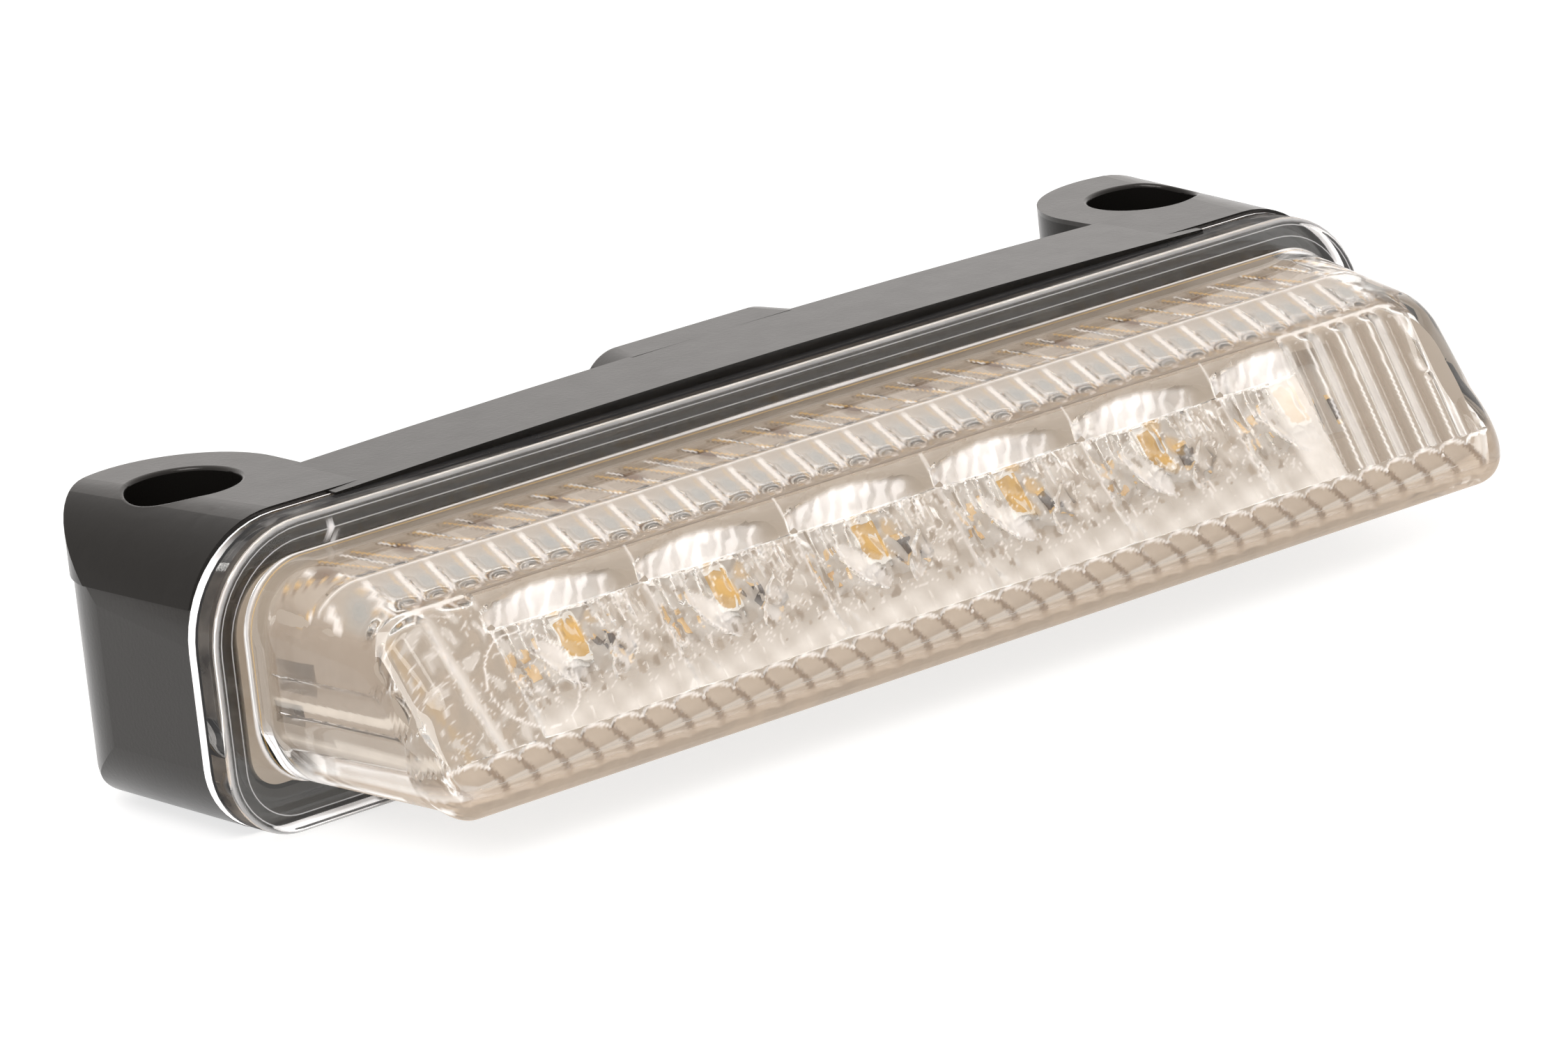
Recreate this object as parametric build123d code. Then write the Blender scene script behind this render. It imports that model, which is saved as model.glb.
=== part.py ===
"""Third brake light: a black moulded housing with two mounting ears, a welded clear lens, and the
lit insides, as separate solids. Millimetres. Origin: midway between the two mounting holes, on the
mounting plane. +X runs along the lamp, +Y points to its back and +Z up."""

from build123d import *
from math import atan2, cos, degrees, radians, sin
import os

# --- Lens and flange -----------------------------------------------------------------------------
HALF_LENGTH = 68.0  # half of the flange's length
FLANGE_TOP = 28.0
FLANGE_BOTTOM = 0.1
FLANGE_FRONT = -18.2  # Y of the flange's front face
FLANGE_THICK = 4.3
RIM = FLANGE_FRONT + FLANGE_THICK  # Y where the flange meets the housing
TOP_CORNER = 10.4
BOTTOM_CORNER = 7.0
WALL = 2.0  # lens wall
ROOT_HALF = 64.6  # bowl's half length where it leaves the flange
ROOT_TOP = 25.0
ROOT_BOTTOM = 4.4
ROOT_CORNER = 6.5
SHOULDER = (-33.5, 22.5)  # (Y, Z) where the top of the bowl turns down
NOSE = (-46.5, 4.9)  # (Y, Z) of the sharp corner that the nose radius rounds off
FRONT_HALF = 62.6  # bowl's half length at the nose
FRONT_CORNER = 5.0
SHOULDER_RADIUS = 4.0
NOSE_RADIUS = 2.9
TONGUE_INSET = 1.5  # the weld tongue's outer face, in from the flange's edge
TONGUE_WIDTH = 1.1
TONGUE_HEIGHT = 1.4

# --- Housing -------------------------------------------------------------------------------------
CROWN_TOP = 29.0  # the top strip's height at mid length
CROWN_DROP = 0.75  # how much lower the strip is at the ears
CROWN_FRONT = -15.2  # Y of the strip's lip, which laps over the top of the flange
LAP_GAP = 0.03  # clearance between the strip's lip and the flange
EAR_TOP = 28.35
EAR_INNER = 47.0  # X where an ear starts
STRIP_LAP = 4.3  # how far the strip runs into each ear
EAR_RADIUS = 10.5
REAR_TOP_CORNER = 7.0  # an ear's top corner at its back; at its front it follows the flange
FOOT_ROUND = 4.0
STRIP_BACK = -4.2
BOSS_BACK = 0.3  # Y of the cable boss's rear face
BOSS_HALF_BASE = 13.6  # half width where the boss leaves the strip
BOSS_HALF_BACK = 12.2
BOSS_BOTTOM = 5.0
BOSS_CORNER = 4.5
SEAM_HEIGHT = 21.4
SEAM_STEP = 0.3  # the body under the seam is this much slimmer
CAVITY_INSET = 3.7
CAVITY_BACK = -7.2
GROOVE_MARGIN = 0.3  # gap between the tongue and each side of its groove
GROOVE_DEPTH = 2.2

# --- Mounting ------------------------------------------------------------------------------------
HOLE_X = 57.0  # half of the hole spacing
HOLE_RADIUS = 2.75  # clears an M5 screw
WELL_RADIUS = 5.25  # takes the screw's head
SHELF = 5.0  # thickness left under the screw's head
EDGE_ROUND = 0.35  # rounding of the wells' mouths

# --- Tray and board ------------------------------------------------------------------------------
TRAY_GAP = 0.5  # room between the lens and the tray
TRAY_WALL = 2.0
LIP_INSET = 4.1
LIP_THICK = 1.25
LED_COUNT = 6
LED_PITCH = 17.0
CUP_WIDTH, CUP_LOW, CUP_HIGH = 15.2, -0.3, 9.0  # a cup's mouth, with its ends along the slope
CUP_FLOOR_WIDTH, CUP_FLOOR_HEIGHT = 10.6, 7.2
LED_SLOPE = 4.5  # place of the LED row along the slope
BOARD_HALF = 57.0
BOARD_LOW, BOARD_HIGH = -0.5, 8.7
BOARD_THICK = 1.2
PIN_RADIUS = 0.8
SIDE_SLOTS = [(-22.8, 15.6, 5.0, 2.9), (-21.2, 12.1, 3.8, 2.0)]  # Y, Z, length, height
LED_SIZE = (3.0, 4.6, 0.9)

# --- Cable ---------------------------------------------------------------------------------------
CABLE_HEIGHT = 17.0
SHEATH_RADIUS = 2.4
CORE_RADIUS = 0.85
CORE_OFFSET = 1.0
CABLE_START = -9.6
CABLE_BEND = 10.0
BEND_RADIUS = 20.0
BEND_ANGLE = 28.0
GROMMET_RADIUS = 3.4

TRAY_OUTER = WALL + TRAY_GAP
TRAY_INNER = TRAY_OUTER + TRAY_WALL
BOARD_FRONT = TRAY_INNER + 0.05  # depths measured square to the slope
BOARD_REAR = BOARD_FRONT + BOARD_THICK
SLOPE_ANGLE = degrees(atan2(SHOULDER[1] - NOSE[1], SHOULDER[0] - NOSE[0]))
SLOPE_MIDDLE = ((SHOULDER[0] + NOSE[0]) / 2, (SHOULDER[1] + NOSE[1]) / 2)
LED_X = [(i - (LED_COUNT - 1) / 2) * LED_PITCH for i in range(LED_COUNT)]
PIN_X = [(i - LED_COUNT / 2) * LED_PITCH for i in range(LED_COUNT + 1)]


def facing_front(y):
    """A plane at depth y that faces the front, drawn with X across and Z up."""
    return Plane(origin=(0, y, 0), x_dir=(1, 0, 0), z_dir=(0, -1, 0))


def on_slope(depth, along=0.0, x=0.0):
    """A plane parallel to the lens's sloping face, this deep behind it, with its Y up the slope."""
    up = Vector(0, cos(radians(SLOPE_ANGLE)), sin(radians(SLOPE_ANGLE)))
    outward = Vector(0, -up.Z, up.Y)
    middle = Vector(x, SLOPE_MIDDLE[0], SLOPE_MIDDLE[1])
    return Plane(origin=middle + up * along - outward * depth, x_dir=(1, 0, 0), z_dir=outward)


def rounded_outline(inset):
    """The flange's outline, moved in by inset, as a sketch with X across and Z up."""
    height = FLANGE_TOP - FLANGE_BOTTOM - 2 * inset
    plate = Pos(0, (FLANGE_TOP + FLANGE_BOTTOM) / 2) * Rectangle(2 * (HALF_LENGTH - inset), height)
    corners = plate.vertices().group_by(Axis.Y)
    plate = fillet(corners[0], BOTTOM_CORNER - inset)
    return fillet(plate.vertices().group_by(Axis.Y)[-1], TOP_CORNER - inset)


def slab(inset, front, back):
    """The outline moved in by inset, from Y front to Y back."""
    return extrude(facing_front(back) * rounded_outline(inset), back - front)


def bowl_section(y, inset):
    """The rounded rectangle that bounds the bowl at depth y."""
    along = (y - FLANGE_FRONT) / (NOSE[0] - FLANGE_FRONT)
    fall = (SHOULDER[1] - ROOT_TOP) / (SHOULDER[0] - FLANGE_FRONT)
    half = ROOT_HALF + (FRONT_HALF - ROOT_HALF) * along - inset
    top = ROOT_TOP + fall * (y - FLANGE_FRONT) - inset
    bottom = ROOT_BOTTOM + (NOSE[1] - ROOT_BOTTOM) * along + inset
    corner = ROOT_CORNER + (FRONT_CORNER - ROOT_CORNER) * along - 0.75 * inset
    shape = Pos(0, (top + bottom) / 2) * RectangleRounded(2 * half, top - bottom, corner)
    return facing_front(y) * shape


def bowl_side(inset, back):
    """The bowl's side view moved in by inset, from the nose to Y back, across the whole length."""
    fall = (SHOULDER[1] - ROOT_TOP) / (SHOULDER[0] - FLANGE_FRONT)
    rise = (NOSE[1] - ROOT_BOTTOM) / (NOSE[0] - FLANGE_FRONT)
    end = back + inset
    corners = [
        (end, ROOT_TOP + fall * (end - FLANGE_FRONT)),
        SHOULDER,
        NOSE,
        (end, ROOT_BOTTOM + rise * (end - FLANGE_FRONT)),
    ]
    side = make_face(Polyline(*corners, close=True))
    if inset:
        side = offset(side, -inset, kind=Kind.INTERSECTION)
    lowest_y = side.vertices().sort_by(Axis.X)
    side = fillet(lowest_y[0], max(NOSE_RADIUS - inset, 0.6))
    shoulder = side.vertices().filter_by(lambda v: v.X < back - 1).sort_by(Axis.Y)[-1]
    side = fillet(shoulder, max(SHOULDER_RADIUS - inset, 0.8))
    return extrude(Plane.YZ * side, HALF_LENGTH, both=True)


def bowl(inset, back):
    """The bowl as one closed solid, moved in by inset and reaching back to Y back."""
    envelope = loft([bowl_section(back, inset), bowl_section(NOSE[0] - 1, inset)])
    return envelope & bowl_side(inset, back)


def make_lens():
    """Clear cover: flange, hollow bowl and the weld tongue on the flange's back."""
    flange = slab(0, FLANGE_FRONT, RIM)
    front_edges = flange.faces().sort_by(Axis.Y)[0].edges()
    flange = fillet(front_edges, 0.6)
    tongue_inner = TONGUE_INSET + TONGUE_WIDTH
    tongue = slab(TONGUE_INSET, RIM, RIM + TONGUE_HEIGHT) - slab(tongue_inner, RIM, RIM + TONGUE_HEIGHT)
    return flange + bowl(0, RIM) + tongue - bowl(WALL, RIM + 1)


def groove():
    """The space in the housing's rim that the tongue and its bead fill."""
    outer = slab(TONGUE_INSET - GROOVE_MARGIN, RIM, RIM + GROOVE_DEPTH)
    return outer - slab(TONGUE_INSET + TONGUE_WIDTH + GROOVE_MARGIN, RIM, RIM + GROOVE_DEPTH)


def make_seal(lens):
    """Weld bead that fills the groove round the tongue."""
    return groove() - lens


def ear_section(margin, top_corner):
    """Front view of the ears, slimmer by margin: flat base and top, round corners."""
    height = EAR_TOP - margin
    plate = Pos(0, height / 2) * Rectangle(2 * (HALF_LENGTH - margin), height)
    plate = fillet(plate.vertices().group_by(Axis.Y)[0], BOTTOM_CORNER - margin)
    return fillet(plate.vertices().group_by(Axis.Y)[-1], top_corner - margin)


def ear_envelope(margin):
    """The ears' shape from front to back: their top corners grow tighter towards the back."""
    front = facing_front(RIM) * ear_section(margin, TOP_CORNER)
    rear = facing_front(EAR_RADIUS + 0.5) * ear_section(margin, REAR_TOP_CORNER)
    return loft([front, rear], ruled=True)


def lower_ears():
    """The ears' slimmer part under the seam, rounded along its foot."""
    ears = rise_from(ear_plan(SEAM_STEP), 0, SEAM_HEIGHT)
    foot = ears.edges().group_by(Axis.Z)[0].filter_by(lambda edge: (edge @ 0.5).Y > RIM - 9)
    return fillet(foot, FOOT_ROUND) & ear_envelope(SEAM_STEP)


def strip_front():
    """Front view of the strip and its ends inside the ears: flat base, crowned top."""
    side_top = CROWN_TOP - CROWN_DROP
    left, right = -EAR_INNER - STRIP_LAP, EAR_INNER + STRIP_LAP
    sides = Polyline((left, side_top), (left, 0), (right, 0), (right, side_top))
    crown = ThreePointArc((right, side_top), (0, CROWN_TOP), (left, side_top))
    return make_face([*sides.edges(), *crown.edges()])


def ear_plan(margin):
    """Both ears seen from above, moved in by margin: straight sides and a round back."""
    width = 2 * EAR_RADIUS
    centre = EAR_INNER + EAR_RADIUS
    tongue = Pos(centre, RIM / 2) * Rectangle(width, -RIM) + Pos(centre, 0) * Circle(EAR_RADIUS)
    reach = Pos(centre, RIM - 5) * Rectangle(width, 12)
    ear = offset(tongue + reach, -margin, kind=Kind.INTERSECTION) if margin else tongue
    return ear + mirror(ear, Plane.YZ)


def strip_plan(margin):
    """The middle strip and its front lip seen from above, its back moved in by margin."""
    depth = STRIP_BACK - margin - CROWN_FRONT
    return Pos(0, CROWN_FRONT + depth / 2) * Rectangle(2 * (EAR_INNER + STRIP_LAP), depth)


def cable_boss():
    """The round-cornered boss behind the strip that the cable leaves through."""
    height = CROWN_TOP - BOSS_BOTTOM
    rise = Pos(0, BOSS_BOTTOM + height / 2)
    base = rise * RectangleRounded(2 * BOSS_HALF_BASE, height, BOSS_CORNER)
    rear = rise * RectangleRounded(2 * BOSS_HALF_BACK, height, BOSS_CORNER)
    root = STRIP_BACK - 0.4
    boss = loft([facing_front(root) * base, facing_front(BOSS_BACK) * rear])
    return fillet(boss.faces().sort_by(Axis.Y)[-1].edges(), 0.6)


def rise_from(plan, low, high):
    """A plan raised from height low to height high."""
    return extrude(Pos(0, 0, low) * plan, high - low)


def housing_block():
    """The outside of the housing: strip, ears and boss, with the slimmer body under the seam."""
    tall = CROWN_TOP + 2
    upper_ears = rise_from(ear_plan(0), SEAM_HEIGHT, tall) & ear_envelope(0)
    upper_strip = rise_from(strip_plan(0), SEAM_HEIGHT, tall)
    lower_strip = rise_from(strip_plan(SEAM_STEP), -1, SEAM_HEIGHT)
    section = extrude(facing_front(CROWN_FRONT) * strip_front(), CROWN_FRONT - STRIP_BACK - 1)
    strip = (upper_strip + lower_strip) & section
    strip -= slab(-LAP_GAP, CROWN_FRONT - 1, RIM)
    return upper_ears + lower_ears() + strip + cable_boss()


def support_ribs():
    """Ribs inside the cavity that hold the tray's lip against the lens."""
    front = RIM + 0.05 + LIP_THICK + 0.05
    depth = CAVITY_BACK - front
    inner_top = FLANGE_TOP - CAVITY_INSET
    inner_bottom = FLANGE_BOTTOM + CAVITY_INSET
    inner_end = HALF_LENGTH - CAVITY_INSET
    reach = 1.9
    spots = [(x, z) for x in (-46, -23, 0, 23, 46) for z in (inner_top, inner_bottom)]
    ribs = [Pos(x, front + depth / 2, z) * Box(2.4, depth, 2 * reach) for x, z in spots]
    ribs += [Pos(side * inner_end, front + depth / 2, 14) * Box(2 * reach, depth, 2.4) for side in (-1, 1)]
    return ribs


def is_well_mouth(edge):
    """Whether an edge is part of a screw well's rim on top of an ear."""
    middle = edge @ 0.5
    off_axis = abs((abs(middle.X) - HOLE_X) ** 2 + middle.Y**2 - WELL_RADIUS**2)
    return off_axis < 0.5 and middle.Z > SEAM_HEIGHT


def make_housing():
    """Black moulded housing with the cavity, the rim groove, the screw wells and the cable hole."""
    block = housing_block()
    cavity = slab(CAVITY_INSET, RIM - 1, CAVITY_BACK)
    for rib in support_ribs():
        cavity -= rib
    block = block - cavity - groove()
    for side in (-1, 1):
        well = Cylinder(WELL_RADIUS, 60, align=(Align.CENTER, Align.CENTER, Align.MIN))
        block -= Pos(side * HOLE_X, 0, SHELF) * well
        block -= Pos(side * HOLE_X, 0, 0) * Cylinder(HOLE_RADIUS, 60)
    mouths = block.edges().filter_by(is_well_mouth)
    block = fillet(mouths, EDGE_ROUND)
    cable_hole = Cylinder(GROMMET_RADIUS, 20)
    return block - Pos(0, 0, CABLE_HEIGHT) * Rot(90, 0, 0) * cable_hole


def led_cup(x):
    """The tapered opening in front of one LED: a wide mouth and a smaller floor."""
    mouth = on_slope(TRAY_OUTER, (CUP_LOW + CUP_HIGH) / 2, x)
    floor = on_slope(TRAY_INNER, LED_SLOPE, x)
    mouth_outline = RectangleRounded(CUP_WIDTH, CUP_HIGH - CUP_LOW, 1.8)
    floor_outline = RectangleRounded(CUP_FLOOR_WIDTH, CUP_FLOOR_HEIGHT, 1.2)
    taper = loft([mouth * mouth_outline, floor * floor_outline])
    clear_mouth = extrude(mouth * mouth_outline, 1.0)
    return taper + clear_mouth + extrude(floor * floor_outline, -0.5)


def make_tray():
    """Cream carrier inside the lens: shell, lip, LED cups, side slots and riveted pins."""
    lip_front = RIM + 0.05
    lip = slab(LIP_INSET, lip_front, lip_front + LIP_THICK)
    hollow = bowl(TRAY_INNER, lip_front + LIP_THICK + 1)
    tray = lip + bowl(TRAY_OUTER, lip_front + LIP_THICK) - hollow
    for x in LED_X:
        tray -= led_cup(x)
    for y, z, length, height in SIDE_SLOTS:
        tray -= Pos(0, y, z) * Box(2 * HALF_LENGTH, length, height)
    for x in PIN_X:
        pin = Circle(PIN_RADIUS)
        head = Circle(PIN_RADIUS + 0.6)
        tray += extrude(on_slope(BOARD_REAR + 0.7, LED_SLOPE, x) * pin, BOARD_THICK + 1.3)
        tray += extrude(on_slope(BOARD_REAR + 0.7, LED_SLOPE, x) * head, 0.65)
    return tray


def make_board():
    """White circuit board behind the windows, with a hole for each riveted pin."""
    plate = Rectangle(2 * BOARD_HALF, BOARD_HIGH - BOARD_LOW)
    board = extrude(on_slope(BOARD_REAR, (BOARD_LOW + BOARD_HIGH) / 2) * plate, BOARD_THICK)
    for x in PIN_X:
        board -= extrude(on_slope(BOARD_REAR + 1, LED_SLOPE, x) * Circle(PIN_RADIUS + 0.1), BOARD_THICK + 2)
    return board


def front_chip(x, along, size):
    """A block on the board's front, with its foot on the board."""
    plane = on_slope(BOARD_FRONT, along, x)
    return extrude(plane * Rectangle(size[0], size[1]), size[2])


def rear_chip(x, along, size, edge=0.15):
    """A block on the board's back, with its foot on the board and its edges eased."""
    plane = on_slope(BOARD_REAR + size[2], along, x)
    block = extrude(plane * Rectangle(size[0], size[1]), size[2])
    return chamfer(block.edges(), edge)


def make_leds():
    """LED bodies, the amber fill in each and the metal feet at each end."""
    wide, tall, thick = LED_SIZE
    bodies, fills, feet = [], [], []
    for x in LED_X:
        cup = on_slope(BOARD_FRONT - thick + 0.4, LED_SLOPE, x) * RectangleRounded(wide - 0.7, tall - 0.7, 0.4)
        fill = extrude(cup, 0.36)
        body = front_chip(x, LED_SLOPE, LED_SIZE)
        body = chamfer(body.edges().filter_by(Axis.X, reverse=True).group_by(SortBy.LENGTH)[0], 0.15)
        bodies.append(body - extrude(cup, 0.5))
        fills.append(fill)
        for side in (-1, 1):
            feet.append(front_chip(x, LED_SLOPE + side * (tall / 2 + 0.27), (wide - 0.6, 0.5, 0.3)))
    return bodies, fills, feet


def make_resistors():
    """Chip resistors: one beside each LED on the front, and four on the back."""
    front = [front_chip(x + 4.4, 3.2, (1.2, 2.0, 0.5)) for x in LED_X]
    back = [rear_chip(x, 4.2, (3.2, 1.6, 0.6), 0.08) for x in (-45, -38, 38, 45)]
    return front + back


def make_pads():
    """Gold-plated test pads on the board's front, beside each LED."""
    pads = [front_chip(x - 4.2, along, (1.3, 1.3, 0.06)) for x in LED_X for along in (2.6, 4.6)]
    pads += [front_chip(x + 4.4, along, (1.3, 0.5, 0.06)) for x in LED_X for along in (1.9, 4.5)]
    return pads


def cable_path(x, start):
    """The cable's centre line in a plane of constant X: straight out, then an easy S down."""
    bend = radians(BEND_ANGLE)
    swing = BEND_RADIUS * sin(bend)
    drop = BEND_RADIUS * (1 - cos(bend))
    half = bend / 2
    first = (CABLE_BEND, CABLE_HEIGHT)
    first_mid = (first[0] + BEND_RADIUS * sin(half), first[1] - BEND_RADIUS * (1 - cos(half)))
    first_end = (first[0] + swing, first[1] - drop)
    second = (first_end[0] + 8 * cos(bend), first_end[1] - 8 * sin(bend))
    end = (second[0] + swing, second[1] - drop)
    second_mid = (end[0] - BEND_RADIUS * sin(half), end[1] + BEND_RADIUS * (1 - cos(half)))

    def at(point):
        return (x, point[0], point[1])

    edges = [
        Line(at((start, CABLE_HEIGHT)), at(first)),
        ThreePointArc(at(first), at(first_mid), at(first_end)),
        Line(at(first_end), at(second)),
        ThreePointArc(at(second), at(second_mid), at(end)),
    ]
    return edges, at(end)


def pad_point(x):
    """Where a core meets the board's back, and the direction in which it leaves."""
    plane = on_slope(BOARD_REAR + 0.35, LED_SLOPE, x)
    return plane.origin, plane.z_dir * -1


def make_core(side):
    """One insulated core: from the board's back, through the sheath, to its free end."""
    x = side * CORE_OFFSET
    edges, end = cable_path(x, CABLE_START)
    spot, leaving = pad_point(side * 3.0)
    inside = Spline(spot, (x, CABLE_START, CABLE_HEIGHT), tangents=[leaving, (0, 1, 0)])
    free_end = (x, end[1] + 9, end[2])
    path = Wire([e.edge() for e in [inside, *edges, Line(end, free_end)]])
    profile = Plane(origin=spot, z_dir=leaving) * Circle(CORE_RADIUS)
    core = sweep(profile, path=path)
    tip = Pos(*free_end) * Rot(-90, 0, 0) * Cylinder(0.5, 4, align=(Align.CENTER, Align.CENTER, Align.MIN))
    return core, tip


def make_sheath(cores):
    """Round outer sheath of the cable, hollow for its two cores."""
    edges, _ = cable_path(0, CABLE_START)
    profile = Plane(origin=(0, CABLE_START, CABLE_HEIGHT), z_dir=(0, 1, 0)) * Circle(SHEATH_RADIUS)
    sheath = sweep(profile, path=Wire([e.edge() for e in edges]))
    for core in cores:
        sheath -= core
    return sheath


def ring(outer, inner, front, back):
    """A round sleeve on the cable's straight run."""
    length = back - front
    middle = Pos(0, (front + back) / 2, CABLE_HEIGHT) * Rot(90, 0, 0)
    return middle * (Cylinder(outer, length) - Cylinder(inner, length))


def make_grommet():
    """Rubber bush in the cable hole, with a collar on the outside."""
    body = ring(GROMMET_RADIUS, SHEATH_RADIUS, CAVITY_BACK, BOSS_BACK)
    collar = ring(GROMMET_RADIUS + 1.3, SHEATH_RADIUS, BOSS_BACK, BOSS_BACK + 1.2)
    collar = fillet(collar.edges().filter_by(GeomType.CIRCLE).sort_by(SortBy.RADIUS)[-2:], 0.4)
    nose = ring(SHEATH_RADIUS + 0.9, SHEATH_RADIUS, BOSS_BACK + 1.2, BOSS_BACK + 4.0)
    return body + collar + nose


def make_potting(others):
    """Resin pool that seals the cable's entry on the inside."""
    pool = Pos(0, (CABLE_START - 0.4 + CAVITY_BACK) / 2, CABLE_HEIGHT)
    shape = pool * Box(26, CAVITY_BACK - CABLE_START + 0.4, 10)
    shape = fillet(shape.edges().filter_by(Axis.Y), 3)
    for other in others:
        shape -= other
    return shape


def make_tie():
    """Nylon tie drawn tight round the sheath outside the grommet."""
    start = BOSS_BACK + 4.2
    band = ring(SHEATH_RADIUS + 0.8, SHEATH_RADIUS, start, start + 2.2)
    head = Pos(0, start + 1.1, CABLE_HEIGHT + SHEATH_RADIUS + 1.6) * Box(3.4, 2.6, 2.0)
    return band + chamfer(head.edges(), 0.3)


def make_joints(cores):
    """Solder on the two pads at the board's back, drawn up round each core."""
    joints = []
    for side, core in zip((-1, 1), cores):
        plane = on_slope(BOARD_REAR, LED_SLOPE, side * 3.0)
        foot = Plane(origin=plane.origin, x_dir=(1, 0, 0), z_dir=plane.z_dir * -1)
        cone = foot * Cone(1.35, 0.95, 1.1, align=(Align.CENTER, Align.CENTER, Align.MIN))
        joints.append(cone - core)
    return joints


def write(name, shape):
    """Writes one node: a solid, or a group of separate solids."""
    group = shape if isinstance(shape, list) else [shape]
    solids = [solid for item in group for solid in item.solids()]
    node = solids[0] if len(solids) == 1 else Compound(children=solids)
    node.label = name
    export_step(node, f"parts/{name}.step")


def main():
    os.makedirs("parts", exist_ok=True)
    lens = make_lens()
    bodies, fills, feet = make_leds()
    (negative, negative_tip), (positive, positive_tip) = make_core(-1), make_core(1)
    sheath = make_sheath([negative, positive])
    write("lens", lens)
    write("lens_weld_bead", make_seal(lens))
    write("housing", make_housing())
    write("reflector_tray", make_tray())
    write("led_board", make_board())
    write("led_bodies", bodies)
    write("led_phosphor_fills", fills)
    write("led_terminals", feet)
    write("chip_resistors", make_resistors())
    write("board_pads", make_pads())
    write("current_regulators", [rear_chip(x, 4.4, (6.4, 4.6, 1.6), 0.25) for x in (-9, 9)])
    write("polarity_diode", rear_chip(-26, 4.4, (4.6, 2.7, 2.1), 0.25))
    write("surge_suppressor", rear_chip(26, 4.4, (4.6, 3.6, 2.3), 0.25))
    write("filter_capacitors", [rear_chip(x, 4.4, (1.6, 3.2, 1.2), 0.1) for x in (-13.8, 13.8)])
    write("solder_joints", make_joints([negative, positive]))
    write("positive_wire", positive)
    write("negative_wire", negative)
    write("stripped_wire_ends", [positive_tip, negative_tip])
    write("cable_sheath", sheath)
    write("cable_grommet", make_grommet())
    write("cable_potting", make_potting([sheath, positive, negative]))
    write("cable_tie", make_tie())


main()
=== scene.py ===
"""Looks of the third brake light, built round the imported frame. Lengths are in metres in Blender."""

import math

import bmesh
import bpy
import numpy as np
from mathutils import Matrix, Vector


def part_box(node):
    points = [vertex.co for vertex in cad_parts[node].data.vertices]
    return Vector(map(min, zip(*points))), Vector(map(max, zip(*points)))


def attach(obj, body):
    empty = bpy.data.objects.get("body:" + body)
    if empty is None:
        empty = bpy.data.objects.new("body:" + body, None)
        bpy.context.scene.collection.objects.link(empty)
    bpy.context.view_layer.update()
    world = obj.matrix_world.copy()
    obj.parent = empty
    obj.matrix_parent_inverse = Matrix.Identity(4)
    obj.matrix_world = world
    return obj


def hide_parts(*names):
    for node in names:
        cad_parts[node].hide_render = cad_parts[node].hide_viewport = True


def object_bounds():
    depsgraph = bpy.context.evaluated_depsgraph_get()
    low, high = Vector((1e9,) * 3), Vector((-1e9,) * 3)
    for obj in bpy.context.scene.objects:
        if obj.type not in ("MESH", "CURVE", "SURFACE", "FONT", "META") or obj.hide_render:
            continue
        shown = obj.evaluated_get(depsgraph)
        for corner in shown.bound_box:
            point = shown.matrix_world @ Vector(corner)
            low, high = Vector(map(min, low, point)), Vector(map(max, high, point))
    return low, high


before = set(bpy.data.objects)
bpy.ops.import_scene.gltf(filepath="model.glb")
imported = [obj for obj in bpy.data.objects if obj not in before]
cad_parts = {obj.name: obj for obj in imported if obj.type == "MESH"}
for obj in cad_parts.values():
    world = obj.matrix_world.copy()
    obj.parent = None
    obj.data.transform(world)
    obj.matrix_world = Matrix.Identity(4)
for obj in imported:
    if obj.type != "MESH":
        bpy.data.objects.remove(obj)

MM = 0.001
cad_low, cad_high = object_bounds()
lens_low, lens_high = (np.array(corner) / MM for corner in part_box("lens"))

# --- Housing and lens sizes, in millimetres --------------------------------------------------------
SEAM_HEIGHT = 21.4  # height of the seam round the ears, which are slimmer under it
EAR_SIDE_TOP = 27.9  # an ear's side rounds into its top here
HALF_LENGTH = lens_high[0]
FLANGE_TOP = lens_high[2]
FLANGE_BOTTOM = lens_low[2]
TONGUE_HEIGHT = 1.4
FLANGE_THICK = 4.3
RIM = lens_high[1] - TONGUE_HEIGHT  # Y of the flange's back face
FLANGE_FRONT = RIM - FLANGE_THICK
HAIRLINE = 0.03  # air gap between the lens and what it is welded to
LENS_BACK = RIM - HAIRLINE  # Y of the lens's own back face
TOP_CORNER = 10.4
BOTTOM_CORNER = 7.0
TONGUE_INSET = 1.5
TONGUE_WIDTH = 1.1
WALL = 2.0
ROOT_HALF = 64.6
ROOT_TOP = 25.0
ROOT_BOTTOM = 4.4
ROOT_CORNER = 6.5
FRONT_HALF = 62.6
FRONT_CORNER = 5.0
CORNER_SHRINK = 0.6  # how much a corner tightens per unit of inset
PLAN_ROUND = 4.5  # rounding of the bowl's front corners, seen from above
PLAN_SHARE = 0.8  # how much of that rounding is used
SHOULDER = np.array([-33.5, 22.5])
NOSE = np.array([-46.5, 4.9])
SHOULDER_RADIUS = 4.0
NOSE_RADIUS = 2.9
LEAST_PLAN_ROUND, LEAST_SHOULDER, LEAST_NOSE = 1.2, 0.8, 0.6  # smallest radii on the inside
INSIDE_POINT = np.array([0, -30.0, 13.0])  # a place in the hollow of the bowl
BACK_ROUND = 0.3
FRONT_ROUND = 0.45
ROOT_FILLET = 0.35

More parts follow.
